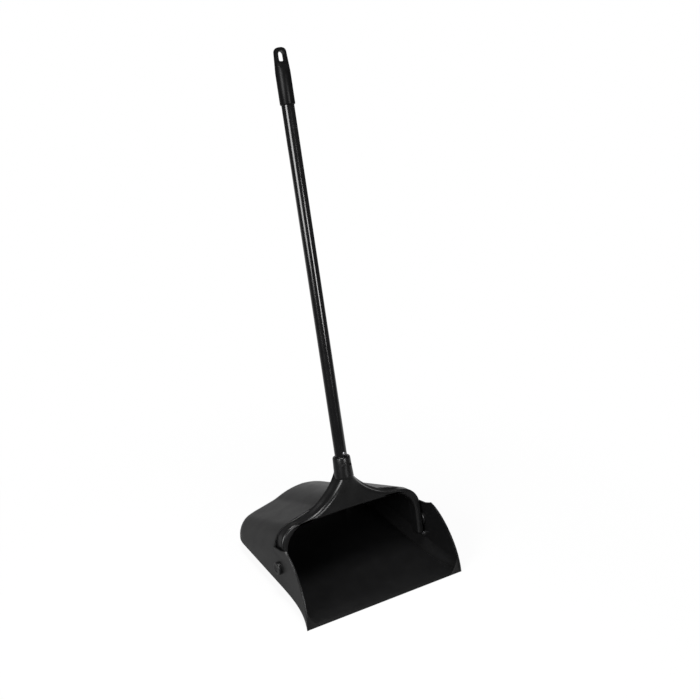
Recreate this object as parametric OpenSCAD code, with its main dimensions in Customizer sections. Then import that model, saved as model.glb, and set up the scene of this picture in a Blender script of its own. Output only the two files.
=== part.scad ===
// Lobby dustpan: a hooded pan on rear wheels, a yoke hinged inside its side walls,
// and an upright tube handle with a hanging grip. The pan stands on the floor at z = 0,
// the hinge axis runs along X above the origin, and the mouth faces -Y.

/* [Pan] */
// Width over the side walls
pan_w = 306; // [280:1:330]
// Distance the lip's corners flare out past the side walls
lip_flare = 8; // [4:1:14]
// Distance from the hinge axis forward to the lip
lip_reach = 112; // [104:1:124]
// Distance from the hinge axis back to the rear wall
pan_rear = 200; // [190:1:206]
// Height of the hood at its crest, behind the yoke
hood_h = 148; // [142:1:154]
// Slope of the hood down to the rear wall, in degrees
hood_slope = 23.5; // [21:0.5:25]
// Width of the dome along the middle of the hood
dome_w = 116; // [106:1:126]
// Height of the dome over the folds beside it
dome_h = 15; // [13:1:18]
// Slope of the shelves from the dome out to the shoulders, in degrees
shelf_slope = 14; // [11:1:17]
// Radius of the hood's shoulders
shoulder_r = 48; // [40:1:54]
// Radius of the pan's rear corners
corner_r = 54; // [44:1:58]
// Distance the walls slope in to the floor
foot_in = 14; // [8:1:18]
// Thickness of the walls and hood
wall = 3; // [2:0.5:4]
// Thickness of the floor
floor_t = 3; // [2:0.5:4]
// Height of the side walls in front of the yoke
tab_h = 102; // [94:1:106]

/* [Hinge] */
// Height of the hinge axis over the floor
hinge_h = 56; // [50:1:62]
// Lean of the handle behind upright, in degrees
lean = 16; // [10:1:20]
// Diameter of the hinge pins
pin_d = 6; // [4.5:0.5:7]
// Diameter of the caps over the pin heads
cap_d = 23; // [18:0.5:26]

/* [Yoke] */
// Gap between the yoke's arms and the side walls
arm_gap = 4; // [3:0.5:6]
// Height of the arch over the hinge axis
arch_h = 70; // [64:1:76]
// Depth of the yoke from front to back
yoke_depth = 20; // [18:1:24]
// Thickness of the yoke's web and flanges
web = 3; // [2:0.2:3.2]
// Distance from the hinge axis up to the rim of the socket
socket_h = 162; // [155:1:185]

/* [Handle] */
// Outside diameter of the tube
tube_d = 22.2; // [19:0.1:25.4]
// Wall of the tube
tube_wall = 1; // [0.8:0.1:2]
// Distance from the hinge axis up to the lower edge of the grip
grip_h = 779; // [600:1:1000]
// Length of the grip
grip_l = 95; // [85:1:120]

/* [Wheels] */
// Diameter of the rear wheels
wheel_d = 22; // [18:1:26]
// Width of the tread
wheel_w = 12; // [8:1:16]
// Distance between the middles of the two wheels
wheel_track = 200; // [150:1:210]
// Diameter of the axles
axle_d = 4; // [3:0.5:5]

/* [Hidden] */
$fn = 64;

// Clearances: a running fit, a pressed fit and a gap between moving bodies
run_gap = 0.08;
press_gap = 0.02;
body_gap = 0.6;
// Overrun of every cut
over = 2;
// Steps in a drawn arc
steps = 10;

// Pan
pan_hw = pan_w / 2;
foot_hw = pan_hw - foot_in;
foot_rise = 22;
foot_slope = sqrt(1 + pow(foot_in / foot_rise, 2));
lip_hw = pan_hw + lip_flare;
dome_r = (pow(dome_w / 2, 2) + pow(dome_h, 2)) / (2 * dome_h);
shelf_rise = dome_w / 2 * sin(shelf_slope) - dome_h * cos(shelf_slope);
shoulder_x = pan_hw - shoulder_r;
shoulder_drop = (shoulder_x * sin(shelf_slope) + shoulder_r - shelf_rise) / cos(shelf_slope);
wall_h = hood_h - shoulder_drop / cos(hood_slope) - body_gap;
lip_edge = 1;
lip_bevel = 26;
tab_y = 23;
tab_back = -7;
tab_fall = 8;
tab_notch = 15;
front_power = 1.25;
ear_back = 45;
ear_h = 62;
hinge_boss_d = 24;
hinge_boss_t = arm_gap - body_gap;

// Yoke, in its own upright frame with the hinge axis at the origin
yoke_hw = pan_hw - wall - arm_gap;
yoke_front = -9;
neck_hw = 8;
neck_drop = 10;
neck_h = socket_h - neck_drop;
flare_power = 1.25;
corner_w = 39;
flare_x = yoke_hw - corner_w;
corner_z = 33;
tail_h = -20;
tail_r = 6.5;
arm_in = 12;
arch_corner_w = 42;
arch_corner_h = 42;
arch_flat_drop = 3;
socket_d = 32;
socket_root_d = 35;
socket_root_drop = 38;
socket_root_h = socket_h - socket_root_drop;
socket_chamfer = 1.4;
socket_depth = 44;
fairing_d = 16;
fairing_l = 36;
eye_d = 15;
eye_l = 5;

// Hinge pins, caps and push nuts
pin_head_d = 15;
pin_head_t = 2;
cap_t = 5.6;
cap_rim_t = 1.6;
cap_dish_d = 13;
cap_dish_t = 1;
nut_d = 11;
nut_t = 1.4;
nut_teeth = 5;
nut_slot_w = 1.2;
nut_slot_d = 9;
nut_gap = 0.3;
pin_tail = 0.8;

// Hollow studs inside the walls, under the ends of the yoke's arms
stud_d = 9;
stud_bore_d = 5;
stud_t = 3;
stud_y = -8;
stud_z = 28;

// Handle
rivet_d = 4.6;
rivet_head_d = 5.6;
rivet_head_t = 1.8;
rivet_h = 7;
grip_d = 26.2;
grip_top_d = 22;
grip_plug = 38;
grip_chamfer = 1.6;
eye_t = 11;
eye_taper = 16;
eye_top_r = 8;
hole_w = 12;
hole_l = 19;
hole_top = 6;

// Wheels
wheel_r = wheel_d / 2;
wheel_gap = 1.5;
well_wall = 2.6;
well_gap = 2;
wheel_edge = 2;
wheel_dish_d = 14;
wheel_dish_t = 2;
wheel_y = pan_rear - wheel_r + wheel_edge / 2;
well_w = wheel_w + 2 * wheel_gap;
well_front = wheel_y - wheel_r - well_gap;
well_h = wheel_d + well_gap;

mould_black = [0.07, 0.07, 0.075];
tube_black = [0.05, 0.05, 0.055];
steel = [0.72, 0.72, 0.74];

function arc(c, r, from, to, n = steps) =
    [for (i = [0:n]) c + r * [cos(from + (to - from) * i / n), sin(from + (to - from) * i / n)]];
function oval(c, r, from, to, power = 1, n = steps) =
    [for (i = [0:n])
        let (t = from + (to - from) * i / n)
        c + [r[0] * sign(cos(t)) * pow(abs(cos(t)), power), r[1] * sign(sin(t)) * pow(abs(sin(t)), power)]];
function mirrored(points) = [for (i = [len(points) - 1:-1:0]) [-points[i][0], points[i][1]]];

// Cross-section of the hood, square to its slope and measured from its crest:
// rounded shoulders, a sloping shelf on each side and the dome between them
function hood_section(inset) =
    let (
        out = shelf_rise + dome_r * cos(shelf_slope) - inset,
        along = sqrt(pow(dome_r - inset, 2) - pow(out, 2)),
        fold = atan2(out * cos(shelf_slope) - along * sin(shelf_slope),
                     out * sin(shelf_slope) + along * cos(shelf_slope)),
        half = concat(
            [[pan_hw - inset, -2 * hood_h]],
            arc([shoulder_x, -shoulder_drop], shoulder_r - inset, 0, 90 - shelf_slope),
            arc([0, -dome_r], dome_r - inset, fold, 90)))
    concat(half, mirrored(half));

// Cross-section of the walls' sloping feet, run on past the upright walls
function foot_section(inset) =
    let (
        side = pan_hw + over,
        rise = (foot_in + over + inset * foot_slope) * foot_rise / foot_in,
        half = [[foot_hw - inset * foot_slope, 0], [side, rise], [side, 2 * hood_h]])
    concat(half, mirrored(half));

// Outline of the rear corners, seen from above
function corner_plan(inset, reach) =
    let (
        edge = inset < wall ? wall : 0,
        centre = [pan_hw - corner_r + body_gap, pan_rear - corner_r],
        half = concat([[pan_hw + edge, -reach - over]], arc(centre, corner_r - inset, 0, 90)))
    concat(half, mirrored(half));

// A bar of the given section, running along Y through the origin
module along_y(front, back) {
    translate([0, back, 0]) rotate([90, 0, 0]) linear_extrude(front + back) children();
}

// Solid of the pan's form: sloped down to the rear wall and run forward to the lip
module form(inset, reach) {
    intersection() {
        translate([0, hood_edge(hood_h), hood_h]) rotate([-hood_slope, 0, 0])
            along_y(2 * pan_w, 2 * pan_w) polygon(hood_section(inset));
        along_y(reach + over, pan_rear + over) polygon(foot_section(inset));
        linear_extrude(2 * hood_h) polygon(corner_plan(inset, reach));
    }
}

// A plate standing in the YZ plane, over the given reach of X
module side_plate(points, width) {
    translate([-width / 2, 0, 0]) rotate([90, 0, 90]) linear_extrude(width) polygon(points);
}

// Where the hood's front edge lies, just behind the leaning yoke
function hood_edge(z) = (z - hinge_h) * tan(lean) + (yoke_front + yoke_depth + body_gap) / cos(lean);

// Where the front edge of a side wall lies
function wall_front(z) =
    -tab_y - (lip_reach - tab_y) * pow(1 - pow(z / tab_h, 2 / front_power), front_power / 2);

// Outline of the hood, and of the walls up to its shoulders, seen from the side
function hood_outline() =
    let (top = 2 * hood_h, back = 2 * pan_rear)
    concat(
        [[back, 0], [back, top], [hood_edge(top), top], [hood_edge(wall_h), wall_h]],
        [for (z = [wall_h:-wall_h / (2 * steps):wall_h / (4 * steps)]) [wall_front(z), z]],
        [[-lip_reach, 0]]);

// Outline of the side walls in front of the yoke, seen from the side
function tab_outline() =
    let (notch = tab_h - tab_notch)
    concat(
        [[hood_edge(foot_rise), foot_rise], [hood_edge(notch), notch], [tab_back, tab_h - tab_fall]],
        [for (z = [tab_h:-(tab_h - foot_rise) / (2 * steps):foot_rise]) [wall_front(z), z]]);

// Outline of the space inside, over the floor and the bevel to the lip
function room_outline() =
    let (top = 2 * hood_h, back = 2 * pan_rear, front = -lip_reach - over)
    [[back, floor_t], [back, top], [front, top], [front, lip_edge], [-lip_reach, lip_edge],
     [lip_bevel - lip_reach, floor_t]];

module at_both_sides() {
    children();
    mirror([1, 0, 0]) children();
}

module along_x(x, length, d) {
    translate([x, 0, 0]) rotate([0, 90, 0]) cylinder(d = d, h = length);
}

module at_hinge() {
    translate([0, 0, hinge_h]) children();
}

module on_yoke() {
    at_hinge() rotate([-lean, 0, 0]) children();
}

module at_wheel(side) {
    translate([side * wheel_track / 2, wheel_y, wheel_r]) children();
}

// Ear that flares the foot of a wall out to the lip's corner
module lip_ear() {
    back = ear_back - lip_reach;
    inside = wall / 2;
    edge = wall_front(ear_h);
    polyhedron(
        points = [[foot_hw - inside, back, 0], [foot_hw - inside, -lip_reach, 0],
                  [pan_hw - inside, edge, ear_h], [pan_hw - inside, back, foot_rise],
                  [foot_hw, back, 0], [lip_hw, -lip_reach, 0],
                  [pan_hw, edge, ear_h], [pan_hw, back, foot_rise]],
        faces = [[3, 2, 0], [2, 1, 0], [4, 5, 6], [4, 6, 7], [1, 5, 4, 0], [2, 6, 5, 1], [0, 4, 7, 3], [3, 7, 6, 2]]);
}

module wheel_housing(side, grow, back) {
    translate([side * wheel_track / 2 - well_w / 2 - grow, well_front - grow, 0])
        cube([well_w + 2 * grow, back - well_front + grow, well_h + grow]);
}

module at_stud() {
    translate([0, stud_y, stud_z]) children();
}

module pan() {
    color(mould_black) difference() {
        union() {
            difference() {
                intersection() {
                    form(0, lip_reach);
                    side_plate(hood_outline(), 2 * pan_w);
                }
                intersection() {
                    form(wall, lip_reach + over);
                    side_plate(room_outline(), 2 * pan_w);
                }
            }
            at_both_sides() {
                translate([pan_hw - wall / 2, 0, 0]) side_plate(tab_outline(), wall);
                lip_ear();
                at_hinge() along_x(pan_hw - wall - hinge_boss_t, hinge_boss_t + wall / 2, hinge_boss_d);
            }
            intersection() {
                form(wall / 2, lip_reach);
                for (side = [-1, 1]) wheel_housing(side, well_wall, 2 * pan_rear);
            }
        }
        at_hinge() along_x(-pan_w, 2 * pan_w, pin_d + 2 * press_gap);
        at_stud() along_x(wall / 2 - pan_hw, pan_w - wall, stud_d + 2 * press_gap);
        for (side = [-1, 1]) {
            translate([0, 0, -over]) wheel_housing(side, 0, 2 * pan_rear);
            wheel_housing(side, 0, 2 * pan_rear);
            at_wheel(side) along_x(-well_w, 2 * well_w, axle_d + 2 * press_gap);
        }
    }
}

// Right half of the yoke's outer edge, from the neck down to the end of the arm
function yoke_edge(inset) =
    concat(
        oval([flare_x, neck_h], [neck_hw - flare_x - inset, arch_h - neck_h - inset], 0, 90, flare_power, 2 * steps),
        oval([flare_x, corner_z], [yoke_hw - flare_x - inset, arch_h - corner_z - inset], 90, 0),
        arc([yoke_hw - tail_r, tail_h], tail_r - inset, 0, -90));

// Right half of the edge round the yoke's opening, from the end of the arm up to the middle
function mouth_edge(inset) =
    let (
        top = arch_h - web - arch_flat_drop,
        side = yoke_hw - arm_in)
    concat(
        arc([yoke_hw - tail_r, tail_h], tail_r - inset, -90, -180),
        oval([side - arch_corner_w, top - arch_corner_h],
             [arch_corner_w + inset, arch_corner_h + inset], 0, 90),
        [[0, top + arch_flat_drop + inset]]);

module yoke_plate(inset) {
    half = concat(yoke_edge(inset), mouth_edge(inset));
    polygon(concat(half, mirrored(half)));
}

module swept_back(depth) {
    translate([0, yoke_front + depth, 0]) rotate([90, 0, 0]) linear_extrude(depth) children();
}

module yoke() {
    color(mould_black) on_yoke() difference() {
        union() {
            difference() {
                swept_back(yoke_depth) yoke_plate(0);
                translate([0, web, 0]) swept_back(yoke_depth) yoke_plate(web);
            }
            translate([0, 0, socket_root_h - fairing_l])
                cylinder(d1 = fairing_d, d2 = socket_root_d, h = fairing_l);
            translate([0, 0, socket_root_h])
                cylinder(d1 = socket_root_d, d2 = socket_d, h = socket_h - socket_root_h - socket_chamfer);
            translate([0, 0, socket_h - socket_chamfer])
                cylinder(d1 = socket_d, d2 = socket_d - 2 * socket_chamfer, h = socket_chamfer);
            at_both_sides() along_x(yoke_hw - eye_l, eye_l, eye_d);
        }
        translate([0, 0, socket_h - socket_depth + web]) cylinder(d = tube_d + 2 * press_gap, h = socket_depth);
        at_both_sides() along_x(yoke_hw - eye_l - over, eye_l + 2 * over, pin_d + 2 * run_gap);
    }
}

module handle_tube() {
    tube_foot = socket_h - socket_depth + web;
    tube_top = grip_h + grip_l - grip_plug;
    color(tube_black) on_yoke() translate([0, 0, tube_foot]) difference() {
        cylinder(d = tube_d, h = tube_top - tube_foot);
        translate([0, 0, -over]) cylinder(d = tube_d - 2 * tube_wall, h = tube_top - tube_foot + 2 * over);
        translate([0, 0, socket_h + rivet_h - tube_foot]) rotate([90, 0, 0])
            cylinder(d = rivet_d + 2 * press_gap, h = tube_d);
    }
}

module hand_grip() {
    r = grip_d / 2;
    top_r = grip_top_d / 2;
    hole_z = grip_l - hole_top - hole_l;
    color(mould_black) on_yoke() translate([0, 0, grip_h]) difference() {
        intersection() {
            rotate_extrude() polygon(concat(
                [[0, 0], [r - grip_chamfer, 0], [r, grip_chamfer], [r, hole_z - eye_taper]],
                arc([top_r - eye_top_r, grip_l - eye_top_r], eye_top_r, 0, 90),
                [[0, grip_l]]));
            side_plate([[-r, 0], [r, 0], [r, hole_z - eye_taper], [eye_t / 2, hole_z], [eye_t / 2, grip_l],
                        [-eye_t / 2, grip_l], [-eye_t / 2, hole_z], [-r, hole_z - eye_taper]], 2 * grip_d);
        }
        translate([0, 0, -over]) cylinder(d = tube_d + 2 * press_gap, h = grip_l - grip_plug + over);
        rotate([90, 0, 0]) linear_extrude(2 * grip_d, center = true) polygon(concat(
            arc([0, hole_z + hole_w / 2], hole_w / 2, 180, 360),
            arc([0, grip_l - hole_top - hole_w / 2], hole_w / 2, 0, 180)));
    }
}

module stop_rivet() {
    color(steel) on_yoke() translate([0, -tube_d / 2, socket_h + rivet_h]) rotate([90, 0, 0]) {
        translate([0, 0, -tube_wall - over]) cylinder(d = rivet_d, h = tube_wall + over);
        rotate_extrude() intersection() {
            translate([0, rivet_head_t - rivet_head_d]) circle(d = 2 * rivet_head_d);
            square([rivet_head_d / 2, rivet_head_t]);
        }
    }
}

// A pin from its head outside the wall to its tail inside the arm
module hinge_pin(side) {
    inner = yoke_hw - eye_l - nut_gap - nut_t - pin_tail;
    color(steel) at_hinge() mirror([side < 0 ? 1 : 0, 0, 0]) {
        along_x(inner, pan_hw - inner, pin_d);
        along_x(pan_hw, pin_head_t, pin_head_d);
    }
}

module hinge_cap(side) {
    color(mould_black) at_hinge() mirror([side < 0 ? 1 : 0, 0, 0]) translate([pan_hw, 0, 0]) rotate([0, 90, 0])
        difference() {
            rotate_extrude() polygon(concat(
                [[0, 0], [cap_d / 2, 0]],
                arc([cap_d / 2 - cap_rim_t, cap_t - cap_rim_t], cap_rim_t, 0, 90),
                [[cap_dish_d / 2, cap_t], [cap_dish_d / 2 - cap_dish_t, cap_t - cap_dish_t], [0, cap_t - cap_dish_t]]));
            translate([0, 0, -over]) cylinder(d = pin_head_d + 2 * press_gap, h = pin_head_t + press_gap + over);
        }
}

// Spring-steel ring that grips the pin's tail
module push_nut(side) {
    color(steel) at_hinge() mirror([side < 0 ? 1 : 0, 0, 0])
        translate([yoke_hw - eye_l - nut_gap - nut_t, 0, 0]) rotate([0, 90, 0]) difference() {
            cylinder(d = nut_d, h = nut_t);
            translate([0, 0, -over]) cylinder(d = pin_d + 2 * press_gap, h = nut_t + 2 * over);
            for (turn = [0:nut_teeth - 1]) rotate(turn * 360 / nut_teeth)
                translate([0, -nut_slot_w / 2, -over]) cube([nut_slot_d / 2, nut_slot_w, nut_t + 2 * over]);
        }
}

// Hollow stud set in the inside of a wall
module wall_stud(side) {
    inner = pan_hw - wall - stud_t;
    color(steel) at_stud() mirror([side < 0 ? 1 : 0, 0, 0]) difference() {
        along_x(inner, stud_t + wall / 2, stud_d);
        along_x(inner - over, stud_t + over, stud_bore_d);
    }
}

module wheel(side) {
    color(mould_black) at_wheel(side) rotate([0, 90, 0]) difference() {
        rotate_extrude() polygon([
            [axle_d / 2 + run_gap, -wheel_w / 2], [wheel_r - wheel_edge, -wheel_w / 2],
            [wheel_r, wheel_edge - wheel_w / 2], [wheel_r, wheel_w / 2 - wheel_edge],
            [wheel_r - wheel_edge, wheel_w / 2], [axle_d / 2 + run_gap, wheel_w / 2]]);
        for (end = [0, 180]) rotate([end, 0, 0]) translate([0, 0, wheel_w / 2 - wheel_dish_t]) difference() {
            cylinder(d = wheel_dish_d, h = wheel_dish_t + over);
            cylinder(d = 2 * axle_d, h = wheel_dish_t + over);
        }
    }
}

module axle(side) {
    length = well_w + 2 * well_wall;
    color(steel) at_wheel(side) along_x(-length / 2, length, axle_d);
}

pan();
yoke();
handle_tube();
hand_grip();
stop_rivet();
hinge_pin(-1);  // hinge_pin_left
hinge_pin(1);  // hinge_pin_right
hinge_cap(-1);  // hinge_cap_left
hinge_cap(1);  // hinge_cap_right
push_nut(-1);  // push_nut_left
push_nut(1);  // push_nut_right
wall_stud(-1);  // wall_stud_left
wall_stud(1);  // wall_stud_right
wheel(-1);  // wheel_left
wheel(1);  // wheel_right
axle(-1);  // axle_left
axle(1);  // axle_right
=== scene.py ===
"""Looks of a lobby dustpan: a hooded pan, a yoke, a tube handle with its grip, and a white studio."""

from __future__ import annotations

import logging
import math
from contextlib import contextmanager
from dataclasses import dataclass
from enum import Enum
from typing import Any, Callable, Iterator

import bpy
from mathutils import Matrix, Vector

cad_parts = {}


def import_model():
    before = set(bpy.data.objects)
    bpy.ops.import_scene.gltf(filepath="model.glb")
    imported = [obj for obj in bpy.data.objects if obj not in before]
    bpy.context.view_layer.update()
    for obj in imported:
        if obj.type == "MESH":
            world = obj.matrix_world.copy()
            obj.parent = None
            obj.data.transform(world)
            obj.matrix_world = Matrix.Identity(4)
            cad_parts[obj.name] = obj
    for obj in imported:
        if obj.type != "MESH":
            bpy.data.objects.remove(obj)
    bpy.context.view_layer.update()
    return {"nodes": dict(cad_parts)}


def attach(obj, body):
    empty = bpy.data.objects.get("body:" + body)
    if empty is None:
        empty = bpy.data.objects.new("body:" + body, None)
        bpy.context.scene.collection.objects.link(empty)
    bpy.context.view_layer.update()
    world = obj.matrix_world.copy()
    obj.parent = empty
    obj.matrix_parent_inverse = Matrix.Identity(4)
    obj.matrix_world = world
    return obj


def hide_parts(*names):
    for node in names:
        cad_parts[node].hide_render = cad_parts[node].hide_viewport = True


log = logging.getLogger("dustpan")
# One millimetre in Blender's metres.
MM = 0.001
# Halvings of a range in a search.
HALVINGS = 30
# Points closer than this, in millimetres, count as one.
TOUCHING = 0.01
Piece = bpy.types.Object
Socket = bpy.types.NodeSocket
Pair = tuple[float, float]
Profile = tuple[Pair, ...]
Triple = tuple[float, float, float]


class Side(Enum):
    """The two mirrored sides of the pan, by the sign of x."""

    LEFT = -1
    RIGHT = 1

    @property
    def word(self) -> str:
        """The side's name as the CAD nodes use it."""
        return self.name.lower()


class Body(Enum):
    """The moving bodies that pieces ride on."""

    PAN = "pan_body"
    HANDLE = "handle_body"
    WHEEL_LEFT = "wheel_left_body"
    WHEEL_RIGHT = "wheel_right_body"


def eased(share: float) -> float:
    """Eases a share from 0 to 1 in and out."""
    return share * share * (3 - 2 * share)


def spaced(start: float, end: float, count: int) -> list[float]:
    """Even steps from a start to an end, both included."""
    return [start + (end - start) * k / count for k in range(count + 1)]


def last_passing(test: Callable[[float], bool], low: float, high: float) -> float:
    """Finds where a test stops passing between two values.

    Args:
        test: Passes at the low value and fails at the high one.
        low: The low value.
        high: The high value.

    Returns:
        The last value that passes.
    """
    for _ in range(HALVINGS):
        middle = (low + high) / 2
        low, high = (middle, high) if test(middle) else (low, middle)
    return low


def oval(centre: Pair, radii: Pair, sweep: Pair, steps: int, power: float = 1.0) -> list[Vector]:
    """Gives points along part of an oval.

    Args:
        centre: Its centre.
        radii: Its two radii.
        sweep: The angles that the points run between, in degrees.
        steps: Steps between the first point and the last.
        power: How hollow its quarters are, with 1 for a plain oval.

    Returns:
        The points.
    """
    points = []
    for k in range(steps + 1):
        t = math.radians(sweep[0] + (sweep[1] - sweep[0]) * k / steps)
        c, s = math.cos(t), math.sin(t)
        points.append(Vector((centre[0] + radii[0] * math.copysign(abs(c) ** power, c),
                              centre[1] + radii[1] * math.copysign(abs(s) ** power, s))))
    return points


def both_halves(half: list[Vector]) -> list[Vector]:
    """Adds the mirrored left half to a right half that ends on the middle plane."""
    return [*half, *(Vector((-p.x, p.y, p.z)) for p in half[-2::-1])]


def only(obj: Piece) -> None:
    """Selects one object alone and makes it active.

    Args:
        obj: The object.
    """
    bpy.ops.object.select_all(action="DESELECT")
    obj.select_set(True)
    bpy.context.view_layer.objects.active = obj


@contextmanager
def editing(obj: Piece, action: str | None = "SELECT") -> Iterator[None]:
    """Opens one object alone in edit mode and closes it after use.

    Args:
        obj: The object.
        action: What happens first to the selection of its mesh, if anything.

    Yields:
        Nothing, while the mesh is open.
    """
    only(obj)
    bpy.ops.object.mode_set(mode="EDIT")
    if action:
        bpy.ops.mesh.select_all(action=action)
    yield
    bpy.ops.object.mode_set(mode="OBJECT")


def apply_modifiers(obj: Piece) -> None:
    """Applies every modifier of an object in order.

    Args:
        obj: The object.
    """
    only(obj)
    for modifier in list(obj.modifiers):
        bpy.ops.object.modifier_apply(modifier=modifier.name)


def apply_place(obj: Piece) -> None:
    """Moves an object's place, turn and scale into its mesh."""
    only(obj)
    bpy.ops.object.transform_apply(location=True, rotation=True, scale=True)


def walled(obj: Piece, thickness: float, offset: float) -> None:
    """Gives a sheet its wall.

    Args:
        obj: The sheet.
        thickness: The wall, in millimetres.
        offset: Where the wall lies: 1 before the sheet, -1 behind it, 0 on both sides.
    """
    wall = obj.modifiers.new("wall", "SOLIDIFY")
    wall.thickness = thickness * MM
    wall.offset = offset
    apply_modifiers(obj)


def shade(obj: Piece, angle: float = 35.0) -> None:
    """Shades a piece smooth, apart from edges sharper than the angle in degrees."""
    only(obj)
    bpy.ops.object.shade_smooth_by_angle(angle=math.radians(angle))


def soften(obj: Piece, width: float, segments: int, angle: float) -> None:
    """Rounds the sharp edges of a piece and shades its curves smooth.

    Args:
        obj: The piece.
        width: Widest that the rounding may get, in millimetres. Short edges narrow it over the whole piece.
        segments: Faces across the rounding.
        angle: Edges sharper than this, in degrees, are rounded.
    """
    bevel = obj.modifiers.new("soft_edges", "BEVEL")
    bevel.width = width * MM
    bevel.segments = segments
    bevel.limit_method = "ANGLE"
    bevel.angle_limit = math.radians(angle)
    bevel.use_clamp_overlap = True
    apply_modifiers(obj)
    shade(obj)


def merged(obj: Piece, distance: float) -> None:
    """Merges points of a piece that lie closer than the distance in millimetres."""
    with editing(obj):
        bpy.ops.mesh.remove_doubles(threshold=distance * MM)


def outward(obj: Piece) -> None:
    """Turns all faces of a closed piece outwards."""
    with editing(obj):
        bpy.ops.mesh.normals_make_consistent(inside=False)


def faced(obj: Piece, face: bpy.types.MeshPolygon, way: Triple) -> None:
    """Flips all faces of a sheet if one of them looks away from a direction.

    Args:
        obj: The sheet.
        face: The face that tells.
        way: Where it should look.
    """
    if face.normal.dot(way) < 0:
        with editing(obj):
            bpy.ops.mesh.flip_normals()


def mark(obj: Piece, test: Callable[[Vector, Vector], bool]) -> None:
    """Selects the faces of a piece that pass a test, and no others.

    Args:
        obj: The piece.
        test: Takes a face's middle in millimetres and its normal.
    """
    with editing(obj, "DESELECT"):
        bpy.ops.mesh.select_mode(type="FACE")
    for face in obj.data.polygons:
        face.select = test(face.center / MM, face.normal)


def take_out(obj: Piece, test: Callable[[Vector, Vector], bool]) -> None:
    """Deletes the faces of a piece that pass a test.

    Args:
        obj: The piece.
        test: Takes a face's middle in millimetres and its normal.
    """
    mark(obj, test)
    with editing(obj, None):
        bpy.ops.mesh.delete(type="FACE")


def slice_mesh(planes: list[tuple[Triple, Triple]]) -> None:
    """Cuts the mesh in edit mode along planes.

    Args:
        planes: A point in millimetres and a normal for each plane.
    """
    for place, normal in planes:
        bpy.ops.mesh.select_all(action="SELECT")
        bpy.ops.mesh.bisect(plane_co=Vector(place) * MM, plane_no=normal)


def joined(name: str, parts: list[Piece]) -> Piece:
    """Joins parts into one object.

    Args:
        name: Name of the joined object.
        parts: The parts; the first one takes in the rest.

    Returns:
        The joined object.
    """
    only(parts[0])
    for part in parts:
        part.select_set(True)
    bpy.ops.object.join()
    parts[0].name = name
    parts[0].data.name = name
    return parts[0]


def added(name: str, primitive: Callable[..., set], **settings: Any) -> Piece:
    """Adds a primitive with nothing else selected.

    Args:
        name: Name of the new object.
        primitive: The call that adds it.
        settings: What that call is given.

    Returns:
        The new object.
    """
    bpy.ops.object.select_all(action="DESELECT")
    primitive(**settings)
    obj = bpy.context.active_object
    obj.name = name
    return obj


def grid_sheet(name: str, rows: list[list[Vector]]) -> Piece:
    """Adds a grid and lays its points on rows of points.

    Args:
        name: Name of the sheet.
        rows: The rows, all of one length, in millimetres.

    Returns:
        The sheet.
    """
    sheet = added(name, bpy.ops.mesh.primitive_grid_add, x_subdivisions=len(rows[0]) - 1,
                  y_subdivisions=len(rows) - 1, size=2)
    for vertex, point in zip(sheet.data.vertices, (point for row in rows for point in row)):
        vertex.co = point * MM
    return sheet


def outline_face(name: str, outline: list[Vector], fill: str = "NGON") -> Piece:
    """Adds a circle and moves its points on to an outline.

    Args:
        name: Name of the face's object.
        outline: The points in order, in millimetres.
        fill: How the outline is filled.

    Returns:
        The flat face or, without a filling, its edge.
    """
    face = added(name, bpy.ops.mesh.primitive_circle_add, vertices=len(outline), radius=1, fill_type=fill)
    for vertex, point in zip(face.data.vertices, outline):
        vertex.co = point * MM
    return face


def spun(name: str, profile: list[Pair], steps: int = 64) -> Piece:
    """Spins a profile once round the Z axis.

    Args:
        name: Name of the piece.
        profile: Radius and height of each point, in millimetres.
        steps: Faces round the turn.

    Returns:
        The closed, merged piece.
    """
    piece = outline_face(name, [Vector((radius, 0, height)) for radius, height in profile], "NOTHING")
    with editing(piece):
        bpy.ops.mesh.spin(steps=steps, angle=math.tau, center=(0, 0, 0), axis=(0, 0, 1))
    merged(piece, TOUCHING)
    outward(piece)
    return piece


def cut(obj: Piece, tool: Piece) -> None:
    """Cuts a tool's shape out of a piece and removes the tool.

    Args:
        obj: The piece.
        tool: The tool.
    """
    boolean = obj.modifiers.new("cut", "BOOLEAN")
    boolean.object = tool
    boolean.operation = "DIFFERENCE"
    boolean.solver = "EXACT"
    apply_modifiers(obj)
    bpy.data.objects.remove(tool)


def turned(obj: Piece, turn: Matrix) -> None:
    """Applies a turn and move to a piece's mesh."""
    obj.data.transform(turn)
    obj.data.update()


def laid(obj: Piece, place: Triple, quarters: int) -> None:
    """Lays a spun piece along X by quarter turns about Y, and moves it to a place in millimetres."""
    turn = Matrix.Rotation(quarters * math.pi / 2, 4, "Y")
    turned(obj, Matrix.Translation(Vector(place) * MM) @ turn)


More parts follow.
